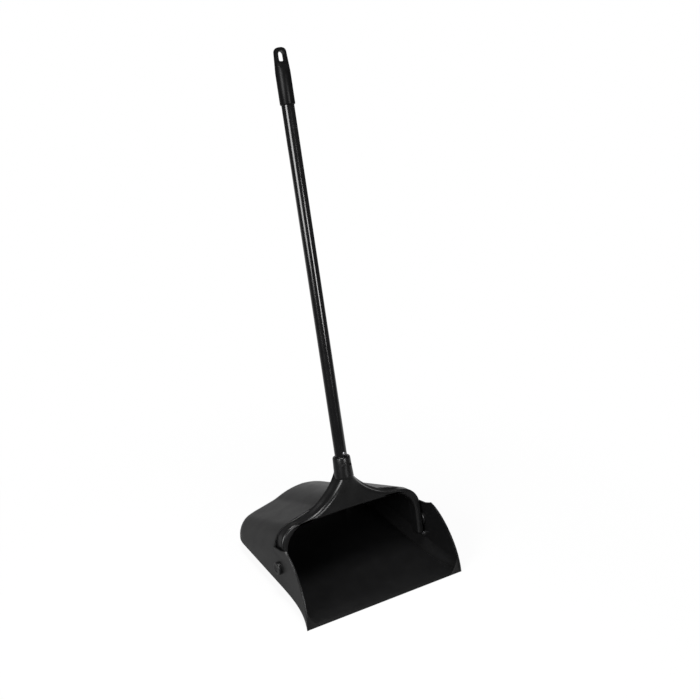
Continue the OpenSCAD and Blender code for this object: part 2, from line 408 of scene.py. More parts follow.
class Bench:
    """Adds nodes to one tree and wires them up as they are added."""

    def __init__(self, tree: bpy.types.NodeTree) -> None:
        """Takes the tree that the nodes go to."""
        self.tree = tree

    def feed(self, node: bpy.types.Node, inputs: dict[Any, Any]) -> None:
        """Links or sets inputs of a node.

        Args:
            node: The node.
            inputs: A socket to link, or else a value, for each input's name or number.
        """
        for key, value in inputs.items():
            if isinstance(value, Socket):
                self.tree.links.new(value, node.inputs[key])
            else:
                node.inputs[key].default_value = value

    def add(self, kind: str, inputs: dict[Any, Any], **settings: Any) -> bpy.types.Node:
        """Adds a node.

        Args:
            kind: Its type, without the prefix that all shader nodes share.
            inputs: What its inputs get.
            settings: Its own settings, such as its operation.

        Returns:
            The node.
        """
        node = self.tree.nodes.new(f"ShaderNode{kind}")
        for name, value in settings.items():
            setattr(node, name, value)
        self.feed(node, inputs)
        return node

    def noise(self, vector: Socket, scale: float | Socket, **inputs: float) -> Socket:
        """Adds a noise and gives its value."""
        named = {name.capitalize(): value for name, value in inputs.items()}
        return self.add("TexNoise", {"Vector": vector, "Scale": scale, **named}).outputs["Fac"]

    def stretched(self, vector: Socket, scale: Triple, turn: Triple = (0, 0, 0)) -> Socket:
        """Adds a stretch and turn of a place."""
        return self.add("Mapping", {"Vector": vector, "Scale": scale, "Rotation": turn}).outputs["Vector"]

    def ramp(self, value: Socket, given: Pair, result: Pair = (0, 1), curve: str = "LINEAR") -> Socket:
        """Adds a clamped change from one range of values to another.

        Args:
            value: The value that goes in.
            given: The two ends of its range.
            result: What comes out at those ends.
            curve: The curve in between.

        Returns:
            The value that comes out.
        """
        inputs = {"Value": value, "From Min": given[0], "From Max": given[1], "To Min": result[0],
                  "To Max": result[1]}
        return self.add("MapRange", inputs, interpolation_type=curve).outputs["Result"]

    def maths(self, operation: str, *values: float | Socket, clamp: bool = False) -> Socket:
        """Adds a calculation and gives its result."""
        node = self.add("Math", dict(enumerate(values)), operation=operation, use_clamp=clamp)
        return node.outputs["Value"]

    def mix(self, factor: Any, first: Any, second: Any, kind: str = "RGBA", blend: str = "MIX") -> Socket:
        """Adds a mix of two colours or numbers and gives its result."""
        node = self.add("Mix", {"Factor": factor, "A": first, "B": second}, data_type=kind, blend_type=blend)
        return node.outputs["Result"]


@dataclass(frozen=True)
class Finish:
    """One finish of the dustpan and how it varies over a surface."""

    name: str
    colour: Triple
    roughness: float
    specular: float
    metallic: float = 0.0
    grain: float = 0.0
    grain_size: float = 900.0
    mottle: float = 0.0
    scuffs: float = 0.0
    dust: float = 0.0
    brushed: float = 0.0


class FinishShop:
    """Builds the shared effects and the material of each finish."""

    VARIED = ("Roughness", "Grain Size", "Mottle", "Scuffs", "Dust", "Brushed")
    SCUFF_COLOUR = (0.075, 0.075, 0.078, 1)
    DUST_COLOUR = (0.11, 0.108, 0.102, 1)
    CLOUD_SCALE = 34.0
    CLOUD_RANGE = (0.3, 0.7)
    CLOUD_ROUGHNESS = 0.03
    STROKE_STRETCH = (60.0, 900.0, 340.0)
    STROKE_TURN = (0.2, 0.3, 0.7)
    STROKE_RANGE = (0.64, 0.76)
    PATCH_RANGE = (0.46, 0.62)
    SCUFF_ROUGHNESS = 0.18
    SPECK_SCALE = 620.0
    SPECK_RANGE = (0.62, 0.8)
    LINE_STRETCH = (2600.0, 2600.0, 40.0)
    GRAIN_DEPTH = 0.0001

    def __init__(self) -> None:
        """Builds the shared node groups once."""
        self.surface = self._surface_group()

    def _surface_group(self) -> bpy.types.NodeTree:
        """Builds the group that gives moulded grain, mottling, scuffs and dust.

        Returns:
            The node group with its named inputs and outputs.
        """
        group = bpy.data.node_groups.new("moulded_surface", "ShaderNodeTree")
        for way, names in (("INPUT", self.VARIED), ("OUTPUT", ("Roughness", "Height"))):
            group.interface.new_socket("Colour", in_out=way, socket_type="NodeSocketColor")
            for name in names:
                group.interface.new_socket(name, in_out=way, socket_type="NodeSocketFloat")
        bench = Bench(group)
        given = group.nodes.new("NodeGroupInput").outputs
        place = bench.add("TexCoord", {}).outputs["Object"]
        grain = bench.noise(place, given["Grain Size"], detail=3.0)
        cloud = bench.noise(place, self.CLOUD_SCALE, detail=5.0, roughness=0.6)
        spread = bench.ramp(cloud, self.CLOUD_RANGE, (-1, 1))

        strokes = bench.noise(bench.stretched(place, self.STROKE_STRETCH, self.STROKE_TURN), 1.0, detail=2.0)
        thin = bench.ramp(strokes, self.STROKE_RANGE)
        patches = bench.maths("MULTIPLY", thin, bench.ramp(cloud, self.PATCH_RANGE))
        scuff = bench.maths("MULTIPLY", patches, given["Scuffs"])
        specks = bench.noise(place, self.SPECK_SCALE, detail=1.0)
        dust = bench.maths("MULTIPLY", bench.ramp(specks, self.SPECK_RANGE), given["Dust"])

        shift = bench.maths("MULTIPLY_ADD", spread, given["Mottle"], 1.0)
        tone = bench.mix(1.0, given["Colour"], shift, blend="MULTIPLY")
        colour = bench.mix(dust, bench.mix(scuff, tone, self.SCUFF_COLOUR), self.DUST_COLOUR)
        rough = bench.maths("MULTIPLY_ADD", spread, self.CLOUD_ROUGHNESS, given["Roughness"])
        rougher = bench.maths("MULTIPLY_ADD", scuff, self.SCUFF_ROUGHNESS, rough, clamp=True)
        drawn = bench.noise(bench.stretched(place, self.LINE_STRETCH), 1.0)
        height = bench.mix(given["Brushed"], grain, drawn, kind="FLOAT")
        out = group.nodes.new("NodeGroupOutput")
        bench.feed(out, {"Colour": colour, "Roughness": rougher, "Height": height})
        return group

    def material(self, finish: Finish) -> bpy.types.Material:
        """Builds the material of a finish.

        Args:
            finish: The finish.

        Returns:
            The material.
        """
        material = bpy.data.materials.new(finish.name)
        material.use_nodes = True
        bench = Bench(material.node_tree)
        surface = bench.add("Group", {
            "Colour": (*finish.colour, 1), "Roughness": finish.roughness, "Grain Size": finish.grain_size,
            "Mottle": finish.mottle, "Scuffs": finish.scuffs, "Dust": finish.dust,
            "Brushed": finish.brushed}, node_tree=self.surface)
        bump = bench.add("Bump", {"Strength": finish.grain, "Distance": self.GRAIN_DEPTH,
                                  "Height": surface.outputs["Height"]})
        bench.feed(material.node_tree.nodes["Principled BSDF"], {
            "Metallic": finish.metallic, "Specular IOR Level": finish.specular,
            "Base Color": surface.outputs["Colour"], "Roughness": surface.outputs["Roughness"],
            "Normal": bump.outputs["Normal"]})
        return material


PAN_PLASTIC = Finish("pan_plastic", (0.0045, 0.0045, 0.0047), roughness=0.38, specular=0.385, grain=0.5,
                     mottle=0.06, scuffs=0.15, dust=0.02)
YOKE_PLASTIC = Finish("yoke_plastic", (0.0045, 0.0045, 0.0047), roughness=0.31, specular=0.38, grain=0.06,
                      mottle=0.2, scuffs=0.12)
TUBE_COAT = Finish("tube_coat", (0.004, 0.004, 0.0043), roughness=0.16, specular=0.5, grain=0.03,
                   grain_size=240, mottle=0.15, scuffs=0.15)
GRIP_PLASTIC = Finish("grip_plastic", (0.004, 0.004, 0.0042), roughness=0.34, specular=0.12, grain=0.06,
                      mottle=0.2, scuffs=0.12)
CAP_PLASTIC = Finish("cap_plastic", (0.005, 0.005, 0.0052), roughness=0.34, specular=0.5, grain=0.2,
                     mottle=0.2, scuffs=0.2)
STEEL = Finish("steel", (0.62, 0.62, 0.64), roughness=0.26, specular=0.5, metallic=1.0, grain=0.3,
               mottle=0.1, brushed=1.0)
WHEEL_PLASTIC = Finish("wheel_plastic", (0.008, 0.008, 0.0085), roughness=0.48, specular=0.4, grain=0.5,
                       mottle=0.25, scuffs=0.6, dust=0.05)


class Dresser:
    """Gives finished pieces their material, body and slot, and reports them."""

    def __init__(self, nodes: dict[str, Piece]) -> None:
        """Keeps the CAD nodes and opens the shop of finishes.

        Args:
            nodes: The CAD nodes by name.
        """
        self.nodes = nodes
        self.shop = FinishShop()
        self.materials: dict[str, bpy.types.Material] = {}

    def coat(self, obj: Piece, finish: Finish) -> None:
        """Gives an object one finish all over.

        Args:
            obj: The object.
            finish: The finish.
        """
        if finish.name not in self.materials:
            self.materials[finish.name] = self.shop.material(finish)
        obj.data.materials.clear()
        obj.data.materials.append(self.materials[finish.name])

    def piece(self, obj: Piece, body: Body, finish: Finish, replaced: str) -> None:
        """Dresses a new piece.

        Args:
            obj: The piece.
            body: The body that it rides on.
            finish: Its finish, whose name is the record's slot.
            replaced: The CAD node that it stands for.
        """
        self.coat(obj, finish)
        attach(obj, body.value)
        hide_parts(replaced)
        log.info("%s: %d faces, %s", obj.name, len(obj.data.polygons), finish.name)

    def node(self, name: str, finish: Finish) -> None:
        """Gives a CAD node that keeps its shape its finish."""
        self.coat(self.nodes[name], finish)
        log.info("%s: CAD shape, %s", name, finish.name)


@dataclass
class Pan:
    """The hooded pan: one thin moulded shell on a flat floor, in millimetres and degrees."""

    half_width: float = 153.0
    foot_half: float = 139.0
    foot_rise: float = 22.0
    lip_half: float = 161.0
    lip_reach: float = 112.0
    lip_edge: float = 1.0
    lip_bevel: float = 26.0
    upper_flare: float = 7.0
    flare_power: float = 2.2
    front_power: float = 1.25
    rear: float = 200.0
    crest: float = 148.0
    slope: float = 23.5
    dome_half: float = 58.0
    dome_height: float = 15.0
    fold_half: float = 6.0
    fold_round: float = 1.6
    shelf_slope: float = 14.0
    shoulder: float = 48.0
    corner: float = 54.0
    corner_ease: float = 4.0
    rear_round: float = 10.0
    wall: float = 3.0
    floor: float = 3.0
    underside: float = 0.1
    tab_height: float = 102.0
    tab_front: float = 23.0
    tab_back: float = -7.0
    tab_shelf: float = 94.0
    tab_notch: float = 87.0
    hinge_height: float = 56.0
    lean: float = 16.0
    rim_gap: float = 11.6
    wheel_x: float = 100.0
    well_half: float = 7.5
    well_foot: float = 0.2
    well_height: float = 24.0
    well_front: float = 177.0
    well_inset: float = 3.6
    well_wall: float = 2.6
    web_reach: float = 25.0
    web_rise: float = 31.0
    web_sink: float = 1.0
    web_hollow: float = 0.6
    boss_radius: float = 12.0
    boss_height: float = 5.0
    boss_chamfer: float = 0.8
    boss_sink: float = 1.4
    side_steps: int = 30
    corner_steps: int = 16
    shoulder_steps: int = 14
    shelf_steps: int = 6
    fold_steps: int = 8
    rim_rounds: int = 8
    wall_rows: int = 5
    tab_rows: int = 10
    web_steps: int = 10
    front_columns: int = 30
    floor_rows: int = 30
    floor_columns: int = 16
    merge: float = 0.02

    @property
    def last(self) -> int:
        """Number of the last station, where the corner meets the rear wall."""
        return self.side_steps + self.corner_steps

    def rim(self, z: float) -> float:
        """Where the hood's front edge lies at a height, just behind the yoke."""
        turn = math.radians(self.lean)
        return (z - self.hinge_height) * math.tan(turn) + self.rim_gap / math.cos(turn)

    def front(self, z: float) -> float:
        """Finds the front edge of a side wall.

        Args:
            z: The height.

        Returns:
            Its y.
        """
        share = min(z / self.tab_height, 1.0)
        sweep = (1 - share ** (2 / self.front_power)) ** (self.front_power / 2)
        return -self.tab_front - (self.lip_reach - self.tab_front) * sweep

    def wall_x(self, y: float, z: float) -> float:
        """Finds the outside of a side wall, with its foot and its flare to the lip.

        Args:
            y: The place along the pan.
            z: The height.

        Returns:
            Its x on the right side.
        """
        flare = (max(0.0, -y) / self.lip_reach) ** self.flare_power
        upper = self.half_width + self.upper_flare * flare
        foot = self.foot_half + (self.lip_half - self.foot_half) * flare
        return foot + (upper - foot) * min(z / self.foot_rise, 1.0)

    def section(self, x: float) -> float:
        """Gives the hood's section across the pan: a dome between two shelves with round shoulders.

        Args:
            x: The place across the pan.

        Returns:
            The height from the crest, square to the hood's slope, 0 or less.
        """
        side = abs(x)
        turn = math.radians(self.shelf_slope)
        radius = (self.dome_half**2 + self.dome_height**2) / (2 * self.dome_height)
        rise = self.dome_half * math.sin(turn) - self.dome_height * math.cos(turn)
        centre = self.half_width - self.shoulder
        if side > centre + self.shoulder * math.sin(turn):
            drop = (centre * math.sin(turn) + self.shoulder - rise) / math.cos(turn)
            return math.sqrt(max(self.shoulder**2 - (side - centre) ** 2, 0.0)) - drop
        dome = math.sqrt(max(radius**2 - side**2, 0.0)) - radius
        shelf = (rise - side * math.sin(turn)) / math.cos(turn)
        return (dome + shelf + math.hypot(dome - shelf, self.fold_round)) / 2

    def roof(self, x: float, y: float) -> float:
        """Gives the height of the hood over a place on the floor, rounded off at the rear.

        Args:
            x: The place across the pan.
            y: The place along it.

        Returns:
            The height.
        """
        turn = math.radians(self.slope)
        height = self.crest + self.section(x) / math.cos(turn) - math.tan(turn) * (y - self.rim(self.crest))
        across = max(abs(x) - self.half_width + self.corner, 0.0)
        back = max(y - self.rear + self.corner, 0.0)
        reach = math.hypot(across, back)
        if back > 0:
            size = self.rear_round * back / reach
            past = min(max(1 - (self.corner - reach) / size, 0.0), 1.0)
            height -= size * (1 - math.sqrt(1 - past * past))
        return height

    def _across(self) -> list[float]:
        """Finds where the rows of the hood's right half run.

        Returns:
            Their x, from the wall to the crest.
        """
        outer, inner = self.dome_half + self.fold_half, self.dome_half - self.fold_half
        shoulder = [point.x for point in oval((self.half_width - self.shoulder, 0), (self.shoulder, 0),
                                              (0, 90 - self.shelf_slope), self.shoulder_steps)]
        shelf = spaced(shoulder[-1], outer, self.shelf_steps)[1:]
        fold = spaced(outer, inner, self.fold_steps)[1:]
        return shoulder + shelf + fold + spaced(inner, 0, self.fold_steps)[1:]

    def _station(self, i: float) -> tuple[float, float, float, Vector]:
        """Gives one station along the hood, counted from its rim to the rear wall.

        Args:
            i: The station's number.

        Returns:
            Its share of the straight walls, its y, its half width and its wall's normal in plan.
        """
        straight = self.rear - self.corner
        if i <= self.side_steps:
            return i / self.side_steps, straight, self.half_width, Vector((1, 0))
        turn = math.pi / 2 * (i - self.side_steps) / self.corner_steps
        normal = Vector((math.cos(turn), math.sin(turn)))
        return 1.0, straight + self.corner * normal.y, self.half_width - self.corner * (1 - normal.x), normal

    def _wall_point(self, i: float, z: float) -> Vector:
        """Finds a point of a station on its right wall.

        Args:
            i: The station's number.
            z: The height.

        Returns:
            The point.
        """
        share, back, half, normal = self._station(i)
        y = (1 - share) * self.rim(z) + share * back
        inset = (self.half_width - self.foot_half) * max(0.0, 1 - z / self.foot_rise) * normal.x
        return Vector((half - inset * normal.x, y - inset * normal.y, z))

    def _eave(self, i: int) -> Vector:
        """Finds where a station's right wall meets the hood.

        Args:
            i: The station's number.

        Returns:
            The point.
        """

        def under(z: float) -> bool:
            """Whether the wall at a height is still under the hood."""
            point = self._wall_point(i, z)
            return self.roof(point.x, point.y) > z

        return self._wall_point(i, last_passing(under, 0.0, self.crest))

    def _roof_row(self, i: int) -> list[Vector]:
        """Gives the right half of a station on the hood.

        Args:
            i: The station's number.

        Returns:
            The points from the eave to the crest.
        """
        share, back, _, _ = self._station(i)
        eave = self._eave(i)
        inner = self.half_width - self.corner - self.corner_ease
        row = [eave]
        for x in self._across()[1:]:
            part = max(x - inner, 0.0) / (self.half_width - inner)
            x = min(x, inner) + part * (eave.x - inner)
            front = self.rim(self.crest)
            for _ in range(self.rim_rounds):
                front = self.rim(self.roof(x, front))
            y = (1 - share) * front + share * back
            if i > self.side_steps:
                y += part * part * (eave.y - back)
            row.append(Vector((x, y, self.roof(x, y))))
        return row

    def _heights(self, eave: float) -> list[float]:
        """Spaces the rows up a wall to its eave.

        Args:
            eave: Height of the eave.

        Returns:
            The heights, from the floor to the eave.
        """
        if eave < self.foot_rise:
            return spaced(0, eave, self.wall_rows + 2)
        return [0, self.foot_rise / 2, *spaced(self.foot_rise, eave, self.wall_rows)]

    def _half_section(self, i: int) -> list[Vector]:
        """The right half of a station, from the wall's foot over the shoulder to the crest."""
        roof = self._roof_row(i)
        return [*(self._wall_point(i, z) for z in self._heights(roof[0].z)), *roof[1:]]

    def _hood(self) -> Piece:
        """Builds the hood with the walls behind the yoke as one sheet."""
        return grid_sheet("hood", [both_halves(self._half_section(i)) for i in range(self.last + 1)])

    def _rear(self) -> Piece:
        """Builds the flat rear wall under the hood's edge as a sheet.

        Returns:
            The sheet.
        """
        edge = both_halves(self._roof_row(self.last))
        columns = [[Vector((p.x, p.y, z)) for z in self._heights(p.z)] for p in edge]
        return grid_sheet("rear", [list(row) for row in zip(*columns)])

    def _tab_edge(self, z: float) -> float:
        """Finds the rear edge of a wall's tab.

        Args:
            z: The height.

        Returns:
            Its y.
        """
        low = self.rim(self.tab_notch)
        if z < self.tab_shelf:
            share = max(0.0, z - self.tab_notch) / (self.tab_shelf - self.tab_notch)
            return low + (self.tab_back - low) * share
        share = (z - self.tab_shelf) / (self.tab_height - self.tab_shelf)
        return self.tab_back + (-self.tab_front - self.tab_back) * share

    def _front_wall(self, side: Side) -> Piece:
        """Builds the side wall in front of the yoke, up to its tab, as a sheet.

        Args:
            side: The side that it is on.

        Returns:
            The sheet.
        """
        edge = [p for p in self._half_section(0) if p.z <= self.tab_notch]
        x, _, notch = edge[-1]
        heights = spaced(notch, self.tab_height, self.tab_rows)[1:]
        edge += [Vector((x, self._tab_edge(z), z)) for z in heights]
        rows = []
        for back in edge:
            lag = self.wall_x(back.y, back.z) - back.x
            row = []
            for share in spaced(0, 1, self.front_columns):
                y = back.y + (self.front(back.z) - back.y) * share
                out = self.wall_x(y, back.z) - lag * (1 - share) ** 2
                row.append(Vector((side.value * out, y, back.z)))
            rows.append(row)
        return grid_sheet("front_wall", rows)

    def _shell(self) -> Piece:
        """Builds the hood and walls as one thin shell.

        Returns:
            The shell, open where the wheels sit.
        """
        shell = joined("pan_shell", [self._hood(), self._rear(), *(self._front_wall(side) for side in Side)])
        merged(shell, self.merge)
        outward(shell)
        highest = max(shell.data.polygons, key=lambda face: face.center.z * abs(face.normal.z))
        faced(shell, highest, (0, 0, 1))
        self._open_wells(shell)
        walled(shell, self.wall, -1)
        for vertex in shell.data.vertices:
            vertex.co.y = max(vertex.co.y, -self.lip_reach * MM)
        return shell

    def _foot_at(self, y: float) -> float:
        """Finds the foot of a wall, round the rear corner too.

        Args:
            y: The place along the pan.

        Returns:
            Its x on the right side.
        """
        if y <= self._wall_point(self.side_steps, 0).y:
            return self.wall_x(y, 0)
        station = last_passing(lambda i: self._wall_point(i, 0).y < y, self.side_steps, self.last)
        return self._wall_point(station, 0).x

    def _floor(self) -> Piece:
        """Builds the floor, thinned to the lip.

        Returns:
            The floor, open where the wheels sit.
        """
        inside = self.wall / 2
        rows = []
        for y in spaced(-self.lip_reach, self.rear - inside, self.floor_rows):
            half = self._foot_at(y) - inside
            share = min((y + self.lip_reach) / self.lip_bevel, 1.0)
            z = self.lip_edge + share * (self.floor - self.lip_edge)
            rows.append([Vector((x, y, z)) for x in spaced(-half, half, self.floor_columns)])
        floor = grid_sheet("floor", rows)
        self._open_wells(floor)
        with editing(floor):
            bpy.ops.mesh.extrude_region_move()
            bpy.ops.transform.resize(value=(1, 1, 0), center_override=(0, 0, self.underside * MM))
        outward(floor)
        return floor

    def _open_wells(self, sheet: Piece) -> None:
        """Cuts the wheel wells out of a sheet.

        Args:
            sheet: The shell or the floor.
        """
        planes = [((x + edge, 0, 0), (1, 0, 0)) for x in (-self.wheel_x, self.wheel_x)
                  for edge in (-self.well_half, self.well_half)]
        planes += [((0, self.well_front, 0), (0, 1, 0)), ((0, 0, self.well_height), (0, 0, 1))]
        with editing(sheet):
            slice_mesh(planes)
        take_out(sheet, lambda middle, _: abs(abs(middle.x) - self.wheel_x) < self.well_half
                 and middle.y > self.well_front and middle.z < self.well_height)

    def _housing(self, side: Side) -> Piece:
        """Builds the box round a wheel's well, open below and to the back.

        Args:
            side: The side that it is on.

        Returns:
            The box.
        """
        x = side.value * self.wheel_x
        low = Vector((x - self.well_half, self.well_front, self.well_foot))
        high = Vector((x + self.well_half, self.rear - self.well_inset, self.well_height))
        box = added("housing", bpy.ops.mesh.primitive_cube_add, size=1, location=(low + high) / 2 * MM,
                    scale=(high - low) * MM)
        apply_place(box)
        take_out(box, lambda _, normal: normal.z < -0.5 or normal.y > 0.5)
        walled(box, self.well_wall, 1)
        return box

    def _web(self, side: Side) -> Piece:
        """Builds the small web with a hollow edge that braces a wall's foot at the lip.

        Args:
            side: The side that it is on.

        Returns:
            The web.
        """
        inside = self.wall - self.web_sink
        back = self.front(self.web_rise)
        corner = Vector((self.lip_half - inside, self.web_sink - self.lip_reach, self.lip_edge / 2))
        toe = corner - Vector((self.web_reach, 0, 0))
        top = Vector((self.wall_x(back, self.web_rise) - inside, back + self.web_sink, self.web_rise))
        middle = corner.lerp((toe + top) / 2, self.web_hollow)
        edge = [toe.lerp(middle, t).lerp(middle.lerp(top, t), t) for t in spaced(0, 1, self.web_steps)]
        web = outline_face("web", [Vector((side.value * p.x, p.y, p.z)) for p in (corner, *edge)])
        walled(web, self.well_wall / 2, 0)
        outward(web)
        return web

    def _boss(self, side: Side) -> Piece:
        """Builds the round boss inside a wall that holds a hinge pin.

        Args:
            side: The side that it is on.

        Returns:
            The boss.
        """
        radius, height, chamfer = self.boss_radius, self.boss_height, self.boss_chamfer
        boss = spun("boss", [(0, 0), (radius, 0), (radius, height - chamfer), (radius - chamfer, height),
                             (0, height)])
        laid(boss, (side.value * (self.half_width - self.boss_sink), 0, self.hinge_height), -side.value)
        return boss

    def build(self) -> Piece:
        """Builds the whole pan.

        Returns:
            The finished pan.
        """
        parts = [self._shell(), self._floor()]
        for side in Side:
            parts += [self._housing(side), self._boss(side), self._web(side)]
        pan = joined("pan_shell", parts)
        soften(pan, width=0.7, segments=2, angle=50)
        return pan


@dataclass
class Yoke:
    """The yoke that carries the handle: a channel with two arms, a neck and a socket."""

    half_width: float = 146.0
    front: float = -9.0
    depth: float = 20.0
    web: float = 3.0
    neck_half: float = 8.0
    neck_height: float = 152.0
    flare: float = 107.0
    flare_power: float = 1.25
    arch: float = 70.0
    corner_height: float = 33.0
    tail: float = -20.0
    tail_radius: float = 6.5
    arm: float = 12.0
    mouth_width: float = 42.0
    mouth_height: float = 42.0
    mouth_drop: float = 3.0
    mouth_ease: float = 26.0
    mouth_lift: float = 1.2
    mouth_dip: float = 0.6
    edge_round: float = 4.2
    flare_round: float = 3.4
    waist: float = 5.4
    swell: float = 7.6
    swell_foot: int = 70
    swell_top: int = 124
    swell_half: int = 60
    swell_step: int = 4
    swell_spread: float = 20.0
    socket_top: float = 162.0
    socket_depth: float = 38.0
    socket_foot: float = 39.5
    # Radius and drop below the rim.
    socket_side: Profile = ((16.6, 39.5), (17.3, 39.0), (17.6, 37.8), (17.4, 34.0), (16.4, 12.0), (16.0, 2.4),
                            (15.6, 1.0), (14.6, 0.0))
    socket_chamfer: float = 0.8
    tube_radius: float = 11.12
    # Radius and way in from the arm's outside.
    eye_side: Profile = ((3.2, 0.0), (7.5, 0.0), (7.5, 4.4), (7.1, 4.8), (3.2, 4.8))
    eye_sink: float = 0.1
    hinge_height: float = 56.0
    lean: float = 16.0
    flare_steps: int = 36
    corner_steps: int = 20
    tail_steps: int = 16
    mouth_steps: int = 24
    round_steps: int = 6
    side_steps: int = 6

    @property
    def stand(self) -> Matrix:
        """The move from the yoke's upright frame to its place on the hinge."""
        lean = Matrix.Rotation(-math.radians(self.lean), 4, "X")
        return Matrix.Translation((0, 0, self.hinge_height * MM)) @ lean

    def _outline(self) -> list[Vector]:
        """Gives the yoke's outline from the front.

        Returns:
            The points, from the neck round the right arm and back by the left one.
        """
        top = self.arch - self.web - self.mouth_drop
        inner = self.half_width - self.arm
        mouth = inner - self.mouth_width
        half = oval((self.flare, self.neck_height),
                    (self.neck_half - self.flare, self.arch - self.neck_height), (0, 90),
                    self.flare_steps, self.flare_power)
        half += oval((self.flare, self.corner_height),
                     (self.half_width - self.flare, self.arch - self.corner_height), (90, 0),
                     self.corner_steps)[1:]
        half += oval((self.half_width - self.tail_radius, self.tail), (self.tail_radius, self.tail_radius),
                     (0, -180), self.tail_steps)
        half += oval((mouth, top - self.mouth_height), (self.mouth_width, self.mouth_height), (0, 90),
                     self.mouth_steps)
        half += [Vector((mouth - self.mouth_ease, top + self.mouth_lift)),
                 Vector((self.mouth_ease, top + self.mouth_drop - self.mouth_dip))]
        return half + [Vector((-p.x, p.y)) for p in reversed(half)]

    def _hollow(self, point: Vector) -> float:
        """Says how hollow the side is at a point of the outline.

        Args:
            point: The point.

        Returns:
            1 in the middle of the flare, 0 away from it.
        """
        if point.y < self.arch or abs(point.x) > self.flare:
            return 0.0
        share = min((self.flare - abs(point.x)) / (self.flare - self.neck_half), 1.0)
        return math.sin(2 * math.acos(share ** (1 / self.flare_power)))

    def _ring(self, k: int, hollow: float) -> Pair:
        """Gives the place of a ring of the side.

        Args:
            k: Number of the ring, counted from the front face.
            hollow: How hollow the side is there.

        Returns:
            The way in from the outline and the way back from the front.
        """
        radius = self.edge_round + self.flare_round * hollow
        waist = self.waist * hollow
        if k <= self.round_steps:
            turn = math.pi / 2 * k / self.round_steps
            return waist + radius * (1 - math.sin(turn)), radius * (1 - math.cos(turn))
        share = (k - self.round_steps) / self.side_steps
        return waist * eased(1 - share), radius + (self.depth - radius) * share

    def _channel(self) -> Piece:
        """Builds the channel: a face with its edge turned back in rings, and given its wall.

        Returns:
            The channel.
        """
        outline = self._outline()
        face = outline_face("yoke_frame", [Vector((p.x, 0, p.y)) for p in outline])
        with editing(face, None):
            bpy.ops.mesh.select_mode(type="EDGE")
            bpy.ops.mesh.select_all(action="SELECT")
            for _ in range(self.round_steps + self.side_steps):
                bpy.ops.mesh.extrude_edges_move(TRANSFORM_OT_translate={"value": (0, MM, 0)})
        ways = {}
        for i, point in enumerate(outline):
            along = outline[(i + 1) % len(outline)] - outline[i - 1]
            ways[round(point.x, 2), round(point.y, 2)] = Vector((along.y, -along.x)).normalized()
        for vertex in face.data.vertices:
            x, k, h = vertex.co / MM
            way = ways[round(x, 2), round(h, 2)]
            inset, back = self._ring(round(k), self._hollow(Vector((x, h))))
            vertex.co = Vector((x + way.x * inset, self.front + back, h + way.y * inset)) * MM
        outward(face)
        faced(face, max(face.data.polygons, key=lambda polygon: polygon.area), (0, -1, 0))
        self._swell(face)
        walled(face, self.web, -1)
        shade(face)
        return face

    def _swell(self, face: Piece) -> None:
        """Pushes the front of the neck out to meet the socket, in a soft swell.

        Args:
            face: The channel, before it has its wall.
        """
        half, step = self.swell_half, self.swell_step
        planes = [((x, 0, 0), (1, 0, 0)) for x in range(-half, half + 1, step)]
        planes += [((0, 0, h), (0, 0, 1)) for h in range(self.swell_foot + step, int(self.neck_height), step)]
        mark(face, lambda middle, _: middle.y < self.front + TOUCHING)
        with editing(face, None):
            bpy.ops.mesh.hide(unselected=True)
            slice_mesh(planes)
            bpy.ops.mesh.reveal(select=False)
        for vertex in face.data.vertices:
            x, y, h = vertex.co / MM
            rise = min(max((h - self.swell_foot) / (self.swell_top - self.swell_foot), 0.0), 1.0)
            spread = self.swell_spread * (2 - rise)
            depth = max(1 - (y - self.front) / self.depth, 0.0)
            vertex.co.y -= self.swell * eased(rise) * depth / (1 + (x / spread) ** 2) ** 2 * MM

    def _socket(self) -> Piece:
        """Builds the socket that takes the tube.

        Returns:
            The socket.
        """
        bore, chamfer = self.tube_radius, self.socket_chamfer
        profile = [(0, self.socket_foot), *self.socket_side, (bore + chamfer, 0), (bore, chamfer),
                   (bore, self.socket_depth), (0, self.socket_depth)]
        return spun("socket", [(radius, self.socket_top - drop) for radius, drop in profile])

    def _eye(self, side: Side) -> Piece:
        """Builds the round eye inside an arm, which turns on the hinge pin.

        Args:
            side: The arm's side.

        Returns:
            The eye.
        """
        eye = spun("eye", list(self.eye_side))
        laid(eye, (side.value * (self.half_width - self.eye_sink), 0, 0), -side.value)
        return eye

    def build(self) -> Piece:
        """Builds the yoke on its hinge.

        Returns:
            The finished yoke.
        """
        socket = self._socket()
        shade(socket, angle=40)
        yoke = joined("yoke_frame", [self._channel(), socket, self._eye(Side.LEFT), self._eye(Side.RIGHT)])
        shade(yoke, angle=38)
        turned(yoke, self.stand)
        return yoke


